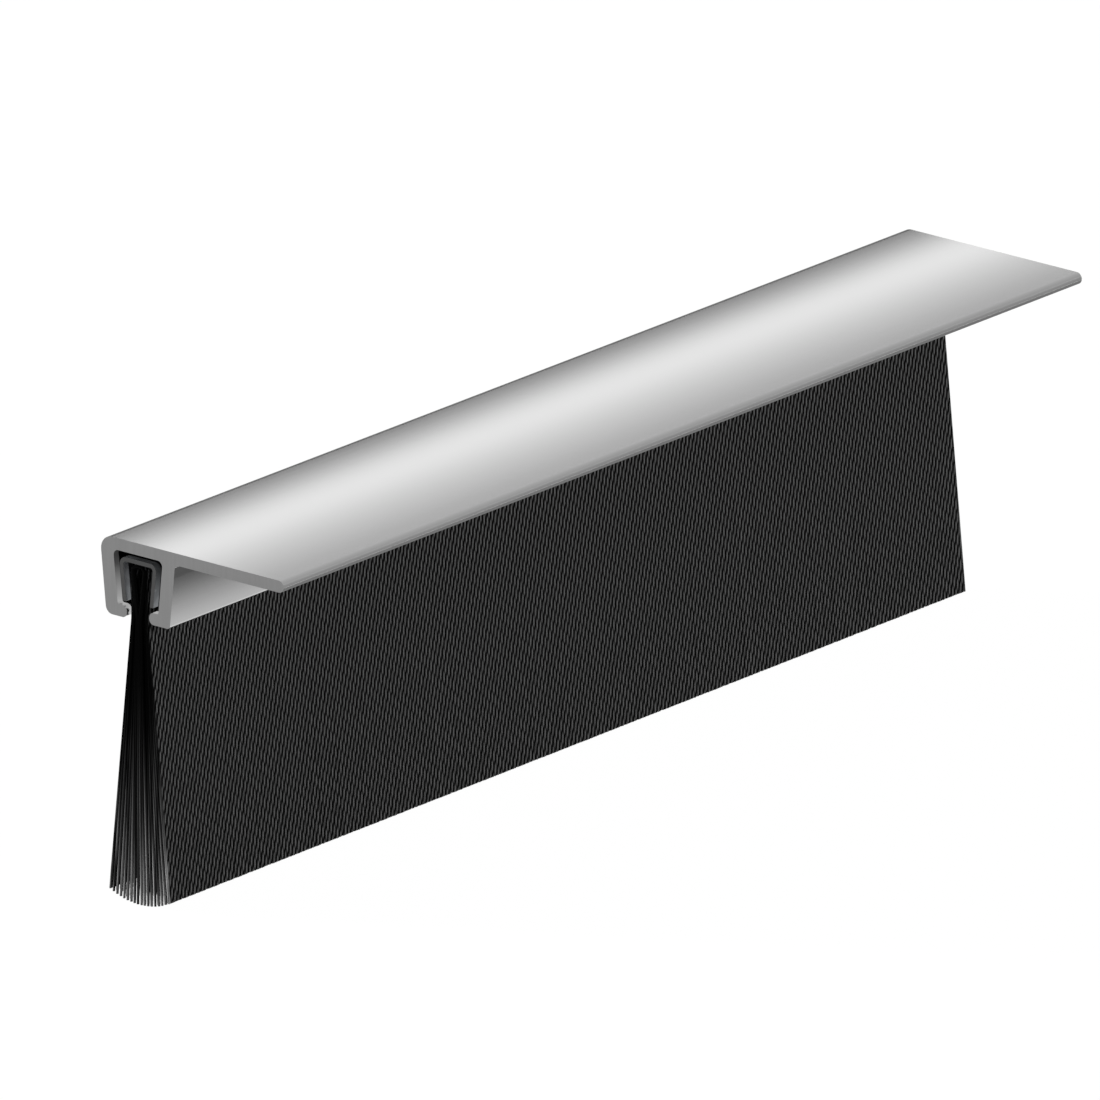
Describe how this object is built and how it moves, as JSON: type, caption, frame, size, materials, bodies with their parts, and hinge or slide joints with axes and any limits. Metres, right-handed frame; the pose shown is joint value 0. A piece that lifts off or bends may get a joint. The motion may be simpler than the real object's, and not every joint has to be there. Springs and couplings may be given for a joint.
{
  "type": "door threshold brush seal",
  "caption": "Aluminium holder with a flat flange and a dovetail channel, and a black strip brush that slides in the channel and closes the gap under a door.",
  "frame": {"origin": "on the flat face that goes against the door, over the brush's centre plane, at the middle of the length", "axes": "+X along the strip, +Z out of the fixing face, -Y towards the free edge of the flange; the bristles point to -Z"},
  "size_m": [0.13, 0.0243, 0.0392],
  "materials": {
    "anodised_aluminium": "satin, natural anodised extrusion with saw-cut ends",
    "galvanised_steel": "dull galvanised strip",
    "steel_wire": "drawn wire",
    "black_bristle": "black nylon filament, slightly glossy"
  },
  "bodies": {
    "holder": {"holder_profile": "anodised_aluminium"},
    "brush": {"brush_back": "galvanised_steel", "core_wire": "steel_wire", "bristle_pack": "black_bristle"}
  },
  "joints": [
    {"name": "brush_slide", "type": "slide", "parent": "holder", "child": "brush", "axis": [1, 0, 0], "range_m": [-0.1, 0.1]}
  ]
}
